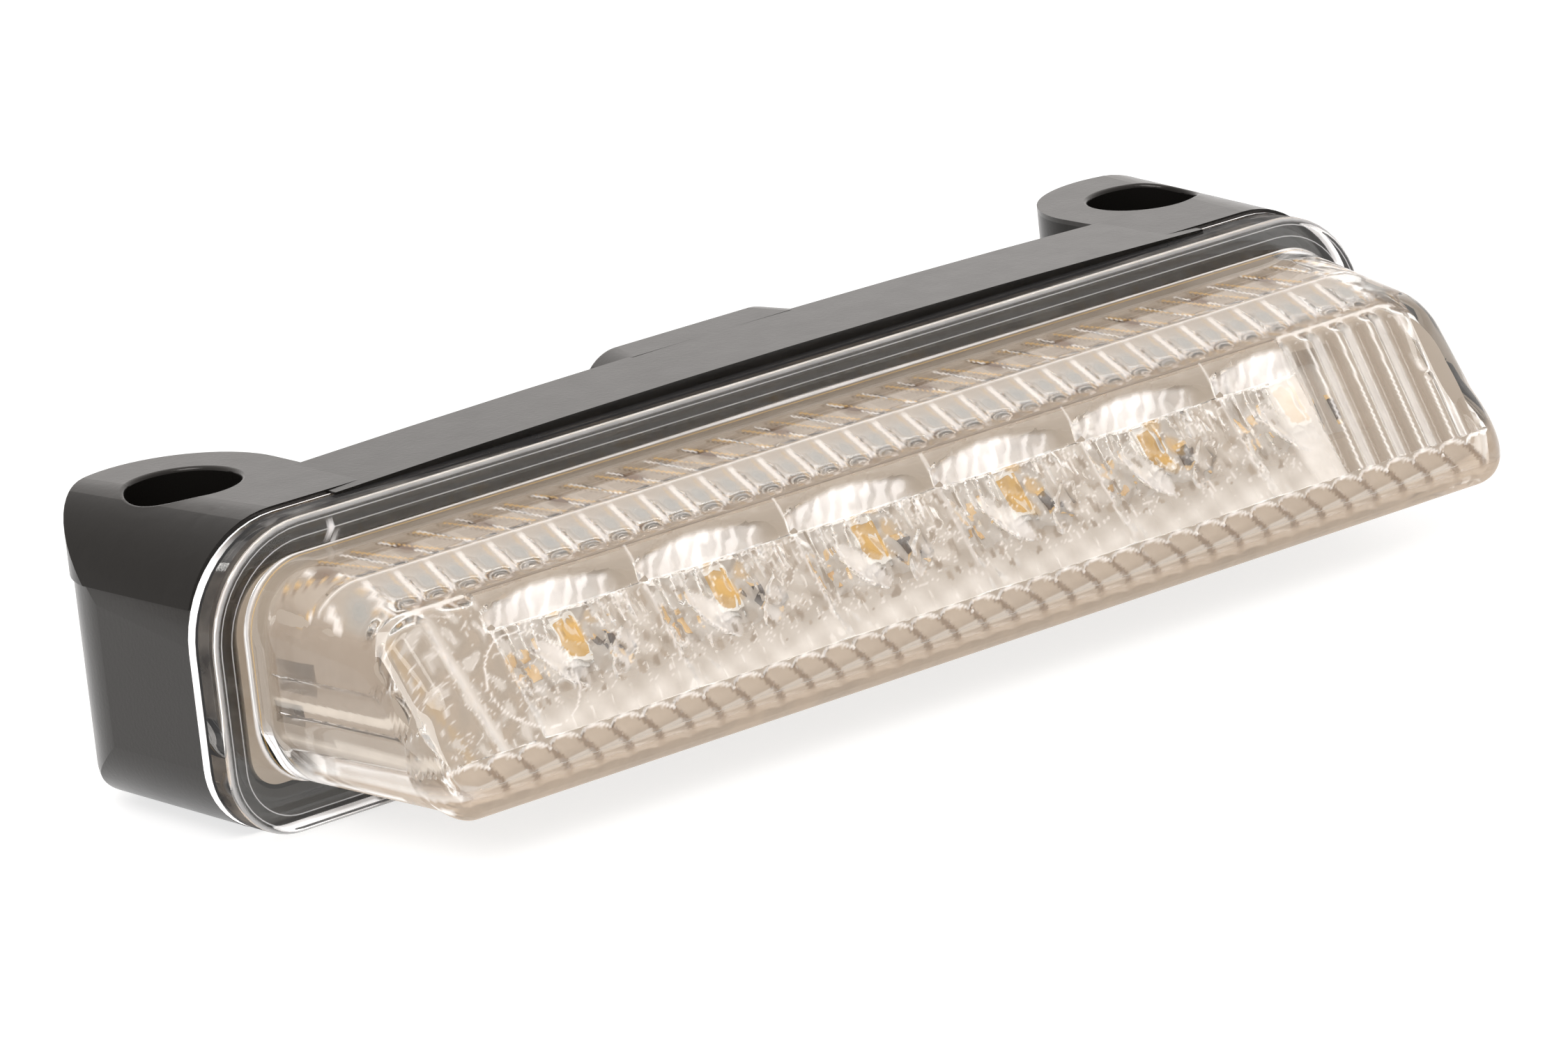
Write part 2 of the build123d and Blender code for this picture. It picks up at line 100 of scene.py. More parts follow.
# --- Optics on the inside of the lens ---------------------------------------------------------------
FLUTE_PITCH = 3.4
FLUTE_SLANT = 11  # distance from the root over which a flute shifts by one pitch
FLUTE_ENDS = (7.6, 12.6)  # where the flutes start and end, from the root
FLUTE_DEPTH = 0.28
CROSSED_PITCH = 4.25  # the first row's other set of teeth
CROSSED_SLANT = 9
LINE_SLANT = 5  # the same for the first row's gold and brown lines
FIRST_ROW = (1.2, 6.0)  # where the two rows start and end, from the root
SECOND_ROW = (7.2, 13.0)
RIB_DEPTH = 0.4
CELL_PITCH = 17.0
ALONG_SLOPE = 1.24  # distance along the sloping face per unit of height
ARCS = (2.2, 7.4)  # inner and outer radius of a cell's stepped arcs
ARC_STEP = 1.3
ARC_DEPTH = 0.3
TOOTH_PITCH = 2.4  # shallow teeth on a hood
TOOTH_DEPTH = 0.16
DOME_HEIGHT = 0.9
OVAL_HEIGHT = 0.45
WAVE_HEIGHT = 0.11
LED_LEVEL = 16.2  # height on the sloping face where an LED is seen
CELL_FOOT = 9.3  # height where the cells give way to the pillow row
HOOD_END = 3.1  # the hoods end this far down from the shoulder
HOOD_PITCH = 0.66  # a hood's rise per length, steep enough to throw light up and out
BROAD_PITCH = 3.9
BROAD_START = 45.4  # the broad flutes at +X start here
BROAD_FAN = 0.14  # how far they lean outwards per unit of height
BROAD_DEPTH = 1.1
RIDGE_BACK, RIDGE_GAP = 3.2, 4.6  # from the cells to the first wide ridge at -X, and to the second
RIDGE_DEPTH = 0.7
CARVE = 0.7  # the wall behind the optics is thinner by this
PILLOW_SLANT = 7  # height over which a pillow shifts by one pitch
PILLOW_END = 7.6  # height where the pillows give way to the plain nose
ROW_SPECKS = 8.5  # spacing of the brown specks in the first row
LAST_CLEAR = 38.5  # past this the sixth cell is painted with pale light, so its LED doesn't show
FLANGE_LINES = (0.65, 1.75)  # fine lines on the front of the flange, in from its edge
MARK = (-49.2, 13.7, 4.6)  # plain moulded ring on the sloping face: X, Z and radius
TICK_X = -54.3  # the moulding gate's mark on the front of the flange
CELLS_LEFT, CELLS_RIGHT = -51.0, 43.6  # where the cells start and end

# --- How finely the lens is divided -----------------------------------------------------------------
EDGE_STEPS = 460
CORNER_STEPS = 12
SIDE_STEPS = 60
ROUND_STEPS = 6
INNER_STEPS = (44, 10, 80, 12)  # along the top, round the shoulder, down the slope and round the nose
OUTER_STEPS = (12, 10, 16, 24)
SHARP_ANGLE = 32  # edges that turn more than this many degrees stay sharp
WELD = 2e-6  # points closer than this, in metres, become one
THINNEST = 1e-7  # edges shorter than this, in metres, are dissolved

# --- Light that the lens catches: how strong it is on each edge, and its tints ----------------------
EDGE_WIDTH = 1.25  # bright band along the back of the flange's side
EDGE_TOP_WIDTH = 0.45  # the same band on the flange's top
EDGE_SHINE = 0.95
ROOT_SHINE = 0.5
FRONT_SHINE = 0.3
SIDE_SHADE = 0.92
TINT_STEP = 0.05  # distance over which one tint gives way to the next
LINE_HALF = 0.09  # half width of the fine lines on the flange
WHITE = (0.95, 0.95, 0.97)
# painted pale light, where the clear optics look whitish
PALE_LIGHT = (0.74, 0.735, 0.73)
CREAM = (0.60, 0.565, 0.52)
BEIGE = (0.38, 0.315, 0.255)
DUSK = (0.22, 0.18, 0.145)
SAND = (0.33, 0.27, 0.215)
GOLD = (0.50, 0.33, 0.12)
UMBER = (0.17, 0.125, 0.09)
BROWN = (0.10, 0.05, 0.02)
GREY_BLUE = (0.21, 0.235, 0.25)
DARK = (0.02, 0.02, 0.021)


# --- Small helpers ----------------------------------------------------------------------------------
def smooth_step(value, low, high):
    """0 below low, 1 above high, and a smooth ramp between."""
    t = np.clip((value - low) / (high - low), 0, 1)
    return t * t * (3 - 2 * t)


def band(value, low, high, blur):
    """1 between low and high, with soft edges of width blur."""
    return smooth_step(value, low - blur, low + blur) * (1 - smooth_step(value, high - blur, high + blur))


def no_light(shape):
    """Colours for a grid of points that have caught nothing yet."""
    light = np.zeros((*shape, 4))
    light[..., :3] = WHITE
    return light


def catch(light, amount, tint):
    """Lays a tint over the light caught so far wherever it is the stronger. Alpha is the amount."""
    stronger = amount > light[..., 3]
    light[..., :3] = np.where(stronger[..., None], tint, light[..., :3])
    light[..., 3] = np.maximum(light[..., 3], amount)


def link(name, mesh):
    """A new object that shows the mesh."""
    piece = bpy.data.objects.new(name, mesh)
    bpy.context.scene.collection.objects.link(piece)
    return piece


# --- The lens as a chain of rings --------------------------------------------------------------------
def line_cross(p, d, q, e):
    """Where line p + d t meets line q + e u."""
    t, _ = np.linalg.solve(np.array([d, -e]).T, q - p)
    return p + d * t


class SideView:
    """The bowl's side view moved in by inset: upper curve, lower curve and end positions."""

    def __init__(self, inset):
        self.inset = inset
        root_top = np.array([FLANGE_FRONT, ROOT_TOP])
        root_low = np.array([FLANGE_FRONT, ROOT_BOTTOM])
        self.d_top = (SHOULDER - root_top) / np.linalg.norm(SHOULDER - root_top)
        self.d_slope = (NOSE - SHOULDER) / np.linalg.norm(NOSE - SHOULDER)
        self.d_low = (NOSE - root_low) / np.linalg.norm(NOSE - root_low)
        self.top = root_top + inset * self.inward(self.d_top)
        slope = SHOULDER + inset * self.inward(self.d_slope)
        self.low = root_low - inset * self.inward(self.d_low)
        self.shoulder = line_cross(self.top, self.d_top, slope, self.d_slope)
        self.nose = line_cross(slope, self.d_slope, self.low, self.d_low)
        self.shoulder_radius = max(SHOULDER_RADIUS - inset, LEAST_SHOULDER)
        self.nose_radius = max(NOSE_RADIUS - inset, LEAST_NOSE)
        turn = math.acos(float(self.d_top @ self.d_slope))
        self.cut = self.shoulder_radius * math.tan(turn / 2)
        self.shoulder_centre = (
            self.shoulder - self.cut * self.d_top + self.shoulder_radius * self.inward(self.d_top)
        )
        closing = math.acos(float(self.d_slope @ self.d_low))
        self.nose_cut = self.nose_radius / math.tan(closing / 2)
        self.nose_centre = (
            self.nose - self.nose_cut * self.d_slope + self.nose_radius * self.inward(self.d_slope)
        )

    @staticmethod
    def inward(direction):
        """The normal on the inner side of a stretch that runs forward over the top."""
        return np.array([-direction[1], direction[0]])

    def upper(self, back, steps):
        """Points from Y back, over the shoulder and down the slope to the foremost point."""
        straight, bend, slope, tip = steps
        start = self.top + self.d_top * (back - self.top[0]) / self.d_top[0]
        shoulder_in = self.shoulder - self.cut * self.d_top
        shoulder_out = self.shoulder + self.cut * self.d_slope
        nose_in = self.nose - self.nose_cut * self.d_slope
        points = [start + (shoulder_in - start) * t for t in np.linspace(0, 1, straight, endpoint=False)]
        a0 = math.atan2(*(shoulder_in - self.shoulder_centre)[::-1])
        a1 = math.atan2(*(shoulder_out - self.shoulder_centre)[::-1])
        for a in np.linspace(a0, a1, bend, endpoint=False):
            turned = np.array([math.cos(a), math.sin(a)])
            points.append(self.shoulder_centre + self.shoulder_radius * turned)
        along_slope = np.linspace(0, 1, slope, endpoint=False)
        points += [shoulder_out + (nose_in - shoulder_out) * t for t in along_slope]
        b0 = math.atan2(*(nose_in - self.nose_centre)[::-1])
        for b in np.linspace(b0, math.pi, tip):
            turned = np.array([math.cos(b), math.sin(b)])
            points.append(self.nose_centre + self.nose_radius * turned)
        return np.array(points)

    def lower(self, y):
        """Height of the bowl's underside at depth y."""
        flat = self.low[1] + (y - self.low[0]) * self.d_low[1] / self.d_low[0]
        reach = self.nose_centre[0] - y
        if reach <= 0:
            return flat
        drop = math.sqrt(max(self.nose_radius**2 - reach**2, 0.0))
        return self.nose_centre[1] - drop

    def half(self, y):
        """Half length at depth y, rounded off in plan near the nose."""
        along = (y - FLANGE_FRONT) / (NOSE[0] - FLANGE_FRONT)
        plain = ROOT_HALF + (FRONT_HALF - ROOT_HALF) * along - self.inset
        foremost = self.nose_centre[0] - self.nose_radius
        round_off = max(PLAN_ROUND - self.inset, LEAST_PLAN_ROUND)
        near = np.clip((foremost + round_off - y) / round_off, 0, 1)
        return plain - round_off * (1 - math.sqrt(1 - near * near)) * PLAN_SHARE

    def corner(self, y):
        """Corner radius of the bowl's section at depth y."""
        along = (y - FLANGE_FRONT) / (NOSE[0] - FLANGE_FRONT)
        return ROOT_CORNER + (FRONT_CORNER - ROOT_CORNER) * along - CORNER_SHRINK * self.inset


def ring(y, low, top, half, low_corner, top_corner):
    """A rounded rectangle at depth y as points that always start at the top edge's left end."""
    room = (top - low) / 2 * 0.999
    rt, rl = min(top_corner, room), min(low_corner, room)
    across_top = np.linspace(-half + rt, half - rt, EDGE_STEPS)
    across_low = np.linspace(half - rl, -half + rl, EDGE_STEPS)
    up = np.linspace(low + rl, top - rt, SIDE_STEPS)
    quarter = np.linspace(0, math.pi / 2, CORNER_STEPS + 2)[1:-1]
    sine, cosine = np.sin(quarter), np.cos(quarter)
    x = [
        across_top,
        half - rt + rt * sine,
        np.full(SIDE_STEPS, half),
        half - rl + rl * cosine,
        across_low,
        -half + rl - rl * sine,
        np.full(SIDE_STEPS, -half),
        -half + rt - rt * cosine,
    ]
    z = [
        np.full(EDGE_STEPS, top),
        top - rt + rt * cosine,
        up[::-1],
        low + rl - rl * sine,
        np.full(EDGE_STEPS, low),
        low + rl - rl * cosine,
        up,
        top - rt + rt * sine,
    ]
    x, z = np.concatenate(x), np.concatenate(z)
    return np.stack([x, np.full(len(x), y), z], axis=1)


def flange_ring(inset, y):
    """The flange's outline moved in by inset, at depth y."""
    return ring(
        y,
        FLANGE_BOTTOM + inset,
        FLANGE_TOP - inset,
        HALF_LENGTH - inset,
        BOTTOM_CORNER - inset,
        TOP_CORNER - inset,
    )


def bowl_rings(inset, back, steps):
    """Rings from Y back to the nose, each ring's distance along the upper curve, and that curve."""
    side = SideView(inset)
    upper = side.upper(back, steps)
    rings = []
    for y, top in upper:
        low = min(side.lower(y), top)
        corner = side.corner(y)
        rings.append(ring(y, low, top, side.half(y), corner, corner))
    travel = np.concatenate([[0], np.cumsum(np.linalg.norm(np.diff(upper, axis=0), axis=1))])
    return np.array(rings), travel, upper


def grid_normals(rings):
    """Unit normals of a ring grid that point into the bowl."""
    along = np.gradient(rings, axis=0)
    around = np.roll(rings, -1, axis=1) - np.roll(rings, 1, axis=1)
    normal = np.cross(around, along)
    length = np.linalg.norm(normal, axis=2, keepdims=True)
    return normal / np.maximum(length, 1e-9)


# --- Relief of the optics, and the light it catches ---------------------------------------------------
def saw(value):
    """Rises from 0 to 1 over each unit, then drops."""
    return value - np.floor(value)


def lobes(value):
    """A row of round-topped bumps, one per unit."""
    lobe = 1 - np.abs(2 * saw(value) - 1)
    return np.sqrt(np.clip(lobe * (2 - lobe), 0, 1))


def top_rows(x, from_root):
    """Two rows across the top: shallow crossed teeth near the flange, then round flutes."""
    crossed = 0.14 * saw(x / FLUTE_PITCH) + 0.1 * saw(-x / CROSSED_PITCH + from_root / CROSSED_SLANT)
    fine = band(from_root, *FIRST_ROW, 0.2) * crossed
    slanted = x / FLUTE_PITCH + from_root / FLUTE_SLANT
    return fine + band(from_root, *FLUTE_ENDS, 1.1) * FLUTE_DEPTH * lobes(slanted)


def oval(along, rise, lean, half_width, half_height):
    """A smooth oval bump, 1 at its middle, that leans to one side."""
    across = (along * math.cos(lean) - rise * math.sin(lean)) / half_width
    up = (along * math.sin(lean) + rise * math.cos(lean)) / half_height
    return np.sqrt(np.clip(1 - across * across - up * up, 0, 1))


def ridge(value, width):
    """1 along whole values and 0 away from them, for thin bright lines."""
    away = np.abs(value - np.round(value))
    return 1 - smooth_step(away, width * 0.4, width)


def waves(x, z):
    """Uneven waves between -1 and 1 that never line up with the cells."""
    first = np.sin(1.9 * x + 1.5 * np.sin(1.1 * z + 0.4 * x)) * np.sin(1.6 * z + 1.1 * np.sin(0.8 * x))
    second = np.sin(3.3 * x - 1.7 * z + 1.7 * np.sin(0.5 * x)) * np.sin(2.3 * z + 1.1 * x)
    return 0.7 * first + 0.3 * second


def cell_relief(x, z, down):
    """One lens per LED: a hood at the shoulder, then a dome with stepped arcs and two ovals.

    Returns the relief and the tints that it catches, each as an amount and a colour."""
    cell = 2 * saw(x / CELL_PITCH) - 1
    from_led = cell * CELL_PITCH / 2
    hood_start = 0.1 + 1.6 * (cell + 0.15) ** 2
    ramp = np.clip(down - hood_start, 0, HOOD_END) * HOOD_PITCH
    before_end = 1 - smooth_step(down, HOOD_END, HOOD_END + 0.15)
    hood = ramp * before_end + TOOTH_DEPTH * saw(from_led / TOOTH_PITCH) * (ramp > 0)
    body = smooth_step(down, HOOD_END, HOOD_END + 0.15)
    dome = DOME_HEIGHT * np.sqrt(np.clip(1 - cell * cell, 0, 1)) * (1 - 0.5 * smooth_step(z, 9, 16))
    rise = (z - LED_LEVEL) * ALONG_SLOPE
    radius = np.hypot(from_led - 0.4, rise)
    in_arcs = smooth_step(rise, -1.5, 0) * band(radius, *ARCS, 0.1)
    arc = (radius - ARCS[0]) / ARC_STEP
    arcs = ARC_DEPTH * saw(arc) * in_arcs
    left = oval(from_led + 3.0, rise + 2.4, -0.62, 1.2, 3.4)
    right = oval(from_led - 3.6, rise + 3.0, 0.7, 1.0, 3.0)
    bumps = WAVE_HEIGHT * waves(x, z)
    relief = hood + body * (dome + arcs + bumps + OVAL_HEIGHT * np.maximum(left, right))
    on_hood = smooth_step(ramp, 0.1, 0.5) * before_end * band(cell, -0.98, 0.65, 0.12)
    streaks = ridge(from_led / 1.9 + 0.25 * down + 0.35 * waves(x, z), 0.3)
    hood_light = 0.3 + 0.35 * streaks + 0.45 * np.exp(-(((from_led + 1.7) / 2.8) ** 2))
    uneven = 0.5 + 0.5 * np.sin(1.3 * x + 1.1 * np.sin(0.9 * z)) * np.sin(1.7 * z + 0.6 * x)
    # Thin painted highlight lines, and painted pale light low on the cells that fades upwards.
    highlight_lines = ridge(1.6 * waves(x, z) + 0.11 * x, 0.09) * smooth_step(uneven, 0.2, 0.6)
    low_pale_light = 0.7 * (1 - smooth_step(z, CELL_FOOT, CELL_FOOT + 4.5)) * (0.55 + 0.45 * uneven)
    near_led = np.exp(-((from_led / 2.4) ** 2) - (rise / 3.4) ** 2)
    # Tints of painted light and shade: pale light, sand and umber patches, highlight lines, gold light
    # near each LED, pale light over the sixth cell and white light on the hoods and arcs.
    tints = [
        (body * low_pale_light, PALE_LIGHT),
        (body * 0.3 * uneven, PALE_LIGHT),
        (body * 0.25 * smooth_step(waves(x, z), 0.25, 0.6), SAND),
        (body * 0.3 * smooth_step(-waves(x, z), 0.3, 0.65), UMBER),
        (body * 0.45 * highlight_lines, WHITE),
        (body * 0.65 * near_led * smooth_step(uneven, 0.35, 0.8), GOLD),
        (body * 0.72 * smooth_step(x, LAST_CLEAR, LAST_CLEAR + 2), PALE_LIGHT),
        (on_hood * hood_light, WHITE),
        (0.4 * ridge(x / CELL_PITCH, 0.012), WHITE),
        (body * in_arcs * 0.4 * ridge(arc, 0.14), WHITE),
        (body * 0.45 * smooth_step(left, 0.1, 0.5) * (0.5 + 0.5 * uneven), WHITE),
        (body * 0.35 * smooth_step(right, 0.1, 0.5) * uneven, WHITE),
    ]
    return relief, tints


def pillow_row(x, z):
    """Round-ended pillows along the foot of the sloping face, with painted brown shade on one side of
    each and painted light on the other.
    """
    place = x / FLUTE_PITCH - (CELL_FOOT - z) / PILLOW_SLANT + 0.1 * np.sin(2.4 * (CELL_FOOT - z))
    swell = lobes(place)
    edge = CELL_FOOT - 0.8 * (1 - swell)
    inside = 1 - smooth_step(z, edge - 0.3, edge)
    rim = band(z, edge - 0.3, edge, 0.1) * 0.5
    # Painted shade down one side of each pillow and in the creases between them, painted light on the
    # other side and a painted highlight along the upper edge.
    side = inside * 0.6 * smooth_step(1 - saw(place), 0.5, 0.95)
    glow = inside * 0.62 * band(saw(place), 0.6, 0.9, 0.12) * smooth_step(z, PILLOW_END, CELL_FOOT)
    tints = [
        (inside * 0.5, BEIGE),
        (side, SAND),
        (inside * 0.8 * ridge(place, 0.2), UMBER),
        (glow, CREAM),
        (rim, WHITE),
    ]
    return inside * (0.12 + 0.3 * swell), tints


def end_flutes(x, z):
    """Past the last cells: broad flutes that fan out up the slope at +X, two wide ridges at -X."""
    up = z - CELL_FOOT
    place = (x - BROAD_START - BROAD_FAN * up) / BROAD_PITCH
    right = x > 0
    wave = 0.5 - 0.5 * np.cos(2 * math.pi * place)
    from_ridge = x - CELLS_LEFT + RIDGE_BACK + 0.12 * up
    first_ridge = np.exp(-((from_ridge / 1.7) ** 2))
    second_ridge = np.exp(-(((from_ridge + RIDGE_GAP) / 1.2) ** 2))
    ridge_wave = first_ridge + 0.6 * second_ridge
    relief = np.where(right, BROAD_DEPTH * wave, RIDGE_DEPTH * ridge_wave)
    # Painted light and shade: pale light on one side of each broad flute, shade on the other and a
    # highlight line; round the ridges, painted pale, gold and beige light and highlight lines.
    tints = [
        (right * band(saw(place), 0.08, 0.45, 0.12) * 0.6, PALE_LIGHT),
        (right * band(saw(place), 0.56, 0.74, 0.1) * 0.6, DUSK),
        (right * ridge(place + 0.1, 0.05) * 0.5, WHITE),
        (~right * band(from_ridge, -1.6, -0.2, 0.8) * 0.5, PALE_LIGHT),
        (~right * band(from_ridge, -4.9, -4.3, 0.6) * 0.4, GOLD),
        (~right * 0.3 * smooth_step(waves(x, z), -0.2, 0.6), BEIGE),
        (~right * 0.35 * smooth_step(-waves(x, z), 0.1, 0.6), PALE_LIGHT),
        (~right * 0.35 * ridge(1.3 * waves(x, z) + 0.07 * up, 0.09), WHITE),
    ]
    return relief, tints


def wall_ribs(z):
    """Ribs along the bowl's end walls, shaded towards their top."""
    rib = (z - 2) / FLUTE_PITCH
    tints = [
        (0.35 + 0.35 * smooth_step(z, 12, 16), DUSK),
        (0.55 * band(saw(rib), 0.1, 0.45, 0.15), CREAM),
        (0.3 * ridge(rib, 0.1), WHITE),
    ]
    return lobes(rib), tints


def row_tints(x, from_root):
    """What the two rows on top catch: bright edges, brown specks, and soft grey in each flute."""
    slanted = x / FLUTE_PITCH + from_root / FLUTE_SLANT
    in_first = band(from_root, *FIRST_ROW, 0.2)
    in_second = band(from_root, *SECOND_ROW, 0.5)
    from_speck = (saw(x / ROW_SPECKS + 0.3) - 0.5) * ROW_SPECKS
    speck = np.exp(-((from_speck / 1.0) ** 2) - ((from_root - 3.6) / 1.3) ** 2)
    grey = np.exp(-(((saw(slanted) - 0.55) / 0.27) ** 2) - ((from_root - 10.4) / 2.0) ** 2)
    return [
        (0.2 * in_first, SAND),
        (0.68 * grey, GREY_BLUE),
        (in_second * ridge(slanted, 0.14) * 0.42, WHITE),
        (in_first * ridge(-x / CROSSED_PITCH + from_root / CROSSED_SLANT, 0.07) * 0.6, WHITE),
        (in_first * ridge(x / FLUTE_PITCH - from_root / LINE_SLANT, 0.1) * 0.7, GOLD),
        (in_first * ridge(x / FLUTE_PITCH - from_root / LINE_SLANT + 0.2, 0.05) * 0.6, BROWN),
        (in_second * ridge(slanted + 0.22, 0.08) * 0.3, GOLD),
        (0.4 * (band(from_root, 6.4, 6.7, 0.15) + band(from_root, 13.4, 13.6, 0.12)), WHITE),
        (0.95 * speck, BROWN),
    ]


def optics(points, normal, travel, upper):
    """How far each inner point moves into the bowl, and the light it catches (colour and amount).

    The plain wall is cut back by CARVE wherever the sloping face has optics."""
    x, y, z = points[..., 0], points[..., 1], points[..., 2]
    down = np.broadcast_to((travel - travel[shoulder_step(upper)])[:, None], x.shape)
    facing_up = smooth_step(-normal[..., 2], 0.3, 0.6)
    facing_out = smooth_step(normal[..., 1], 0.25, 0.5)
    end_wall = smooth_step(np.abs(normal[..., 0]), 0.6, 0.85)
    above = facing_up * smooth_step(z, ROOT_BOTTOM + 6, ROOT_BOTTOM + 7)
    from_root = FLANGE_FRONT - y
    middle = band(x, CELLS_LEFT, CELLS_RIGHT, 0.2)
    body = (z > CELL_FOOT) * (1 - end_wall)
    on_top = above * (1 - smooth_step(down, -1.2, -0.8))
    cells = middle * body * smooth_step(down, -0.6, 0.0)
    ends = (1 - middle) * facing_out * body * smooth_step(down, -0.3, 1.0)
    foot = (1 - end_wall) * smooth_step(down, 6, 8) * facing_out * (z <= CELL_FOOT)
    along_end = end_wall * band(from_root, 1.5, 22, 0.6)
    ribs, rib_tints = wall_ribs(z)
    cell_depth, cell_tints = cell_relief(x, z, down)
    end_depth, end_tints = end_flutes(x, z)
    pillow_depth, pillow_tints = pillow_row(x, z)
    depth = on_top * top_rows(x, from_root) + along_end * RIB_DEPTH * ribs
    depth = depth + cells * (cell_depth - CARVE) + ends * (end_depth - CARVE)
    depth = depth + foot * (pillow_depth - CARVE)
    light = no_light(x.shape)
    areas = (
        (on_top, row_tints(x, from_root)),
        (cells, cell_tints),
        (ends, end_tints),
        (foot, pillow_tints),
        (along_end, rib_tints),
    )
    for area, tints in areas:
        for amount, tint in tints:
            catch(light, area * amount, tint)
    over_shoulder = band(x, -57, 58, 1) * band(down, -1.3, 0.1, 0.25) * (z > SHOULDER[1] - 5)
    catch(light, 0.4 * over_shoulder, BEIGE)
    mark = np.hypot(x - MARK[0], (z - MARK[1]) * ALONG_SLOPE)
    catch(light, facing_out * band(mark, MARK[2] - 0.1, MARK[2] + 0.1, 0.1) * 0.6, WHITE)
    catch(light, nose_part(x, y, z) * 0.85, SAND)
    return depth, light


def nose_part(x, y, z):
    """1 on the plain nose under the pillows and at the ends of the bowl's foot, 0 elsewhere."""
    at_end = smooth_step(np.abs(x), 57, 61)
    back = 39 - 17 * at_end
    return (1 - smooth_step(z, PILLOW_END - 0.5, PILLOW_END + 0.1)) * smooth_step(-y, back, back + 3)


def shoulder_step(upper):
    """Index of the point in the middle of the shoulder's bend."""
    heading = np.diff(upper, axis=0)
    angle = np.arctan2(heading[:, 1], heading[:, 0])
    bend = np.unwrap(angle) - np.unwrap(angle)[0]
    slope = NOSE - SHOULDER
    full = abs((math.atan2(slope[1], slope[0]) - angle[0] + math.pi) % (2 * math.pi) - math.pi)
    return int(np.argmax(np.abs(bend) > full / 2))


class Chain:
    """Rings laid one after another, each with the light it catches."""

    def __init__(self):
        self.rings = []
        self.light = []

    def lay(self, points, amount, tint=WHITE):
        """Adds a ring that catches the same light all the way round."""
        self.rings.append(points)
        self.light.append((*tint, amount))

    def as_arrays(self):
        """The rings, and the light at every point of them."""
        rings = np.array(self.rings)
        return rings, np.repeat(np.array(self.light)[:, None, :], rings.shape[1], axis=1)


def lay_tongue(chain):
    """The tongue in the housing's groove, and the flange's back face outside it."""
    tongue_back = RIM + TONGUE_HEIGHT - HAIRLINE
    tongue_in = TONGUE_INSET + TONGUE_WIDTH - HAIRLINE
    tongue_out = TONGUE_INSET + HAIRLINE
    chain.lay(flange_ring(tongue_in, LENS_BACK), 0)
    chain.lay(flange_ring(tongue_in, tongue_back), 0)
    chain.lay(flange_ring(tongue_out, tongue_back), 0)
    chain.lay(flange_ring(tongue_out, LENS_BACK), 0)
    chain.lay(flange_ring(BACK_ROUND + 0.1, LENS_BACK), 0)


def lay_side(chain):
    """The rounded back edge and the side. Returns the two rings that are bright only on the side."""
    for angle in np.linspace(0, math.pi / 2, ROUND_STEPS):
        inset = BACK_ROUND * (1 - math.sin(angle))
        chain.lay(flange_ring(inset, LENS_BACK - BACK_ROUND * (1 - math.cos(angle))), EDGE_SHINE)
    chain.lay(flange_ring(0, RIM - EDGE_TOP_WIDTH), EDGE_SHINE)
    first = len(chain.rings)
    chain.lay(flange_ring(0, RIM - EDGE_TOP_WIDTH - TINT_STEP), EDGE_SHINE)
    chain.lay(flange_ring(0, RIM - EDGE_WIDTH), EDGE_SHINE)
    chain.lay(flange_ring(0, RIM - EDGE_WIDTH - TINT_STEP), SIDE_SHADE, DARK)
    chain.lay(flange_ring(0, FLANGE_FRONT + FRONT_ROUND + TINT_STEP), SIDE_SHADE, DARK)
    return first, first + 1


def lay_front(chain):
    """The rounded front edge, and the fine lines on the front face."""
    for angle in np.linspace(0, math.pi / 2, ROUND_STEPS):
        inset = FRONT_ROUND * (1 - math.cos(angle))
        front = FLANGE_FRONT + FRONT_ROUND * (1 - math.sin(angle))
        chain.lay(flange_ring(inset, front), FRONT_SHINE * math.sin(2 * angle))
    for line in FLANGE_LINES:
        for offset, amount in ((-LINE_HALF, 0), (0, 0.4), (LINE_HALF, 0)):
            chain.lay(flange_ring(line + offset, FLANGE_FRONT), amount)


def lay_root(chain, outer):
    """The fillet from the flange to the root of the outer bowl, and a gold line just past it."""
    root = outer[0]
    spread = root - np.array([0, 0, (ROOT_TOP + ROOT_BOTTOM) / 2])
    spread[:, 1] = 0
    spread /= np.linalg.norm(spread, axis=1, keepdims=True)
    before_fillet = root + spread * (ROOT_FILLET + 0.08)
    before_fillet[:, 1] = FLANGE_FRONT
    chain.lay(before_fillet, 0)
    for angle in np.linspace(0, math.pi / 2, ROUND_STEPS)[:-1]:
        fillet = root + spread * ROOT_FILLET * (1 - math.sin(angle))
        fillet[:, 1] = FLANGE_FRONT - ROOT_FILLET * (1 - math.cos(angle))
        chain.lay(fillet, ROOT_SHINE * math.sin(2 * angle))
    chain.lay(root, 0)
    for along, amount in ((0.15, 0.0), (0.25, 0.6), (0.4, 0.0)):
        chain.lay(root + (outer[1] - root) * along, amount, GOLD)


def flange_chain(outer):
    """The flange from its back to the root of the outer bowl: rings, and the light each catches."""
    chain = Chain()
    lay_tongue(chain)
    side_rings = lay_side(chain)
    lay_front(chain)
    lay_root(chain, outer)
    rings, light = chain.as_arrays()
    for i in side_rings:
        on_top = smooth_step(rings[i, :, 2], FLANGE_TOP - 4, FLANGE_TOP - 0.5)[:, None]
        light[i] = light[i] * (1 - on_top) + np.array((*DARK, SIDE_SHADE)) * on_top
    on_front = (np.abs(rings[..., 1] - FLANGE_FRONT) < 0.01) * band(rings[..., 2], 25.0, 26.9, 0.2)
    catch(light, 0.8 * on_front * band(rings[..., 0], TICK_X - 0.3, TICK_X + 0.3, 0.15), WHITE)
    return rings, light


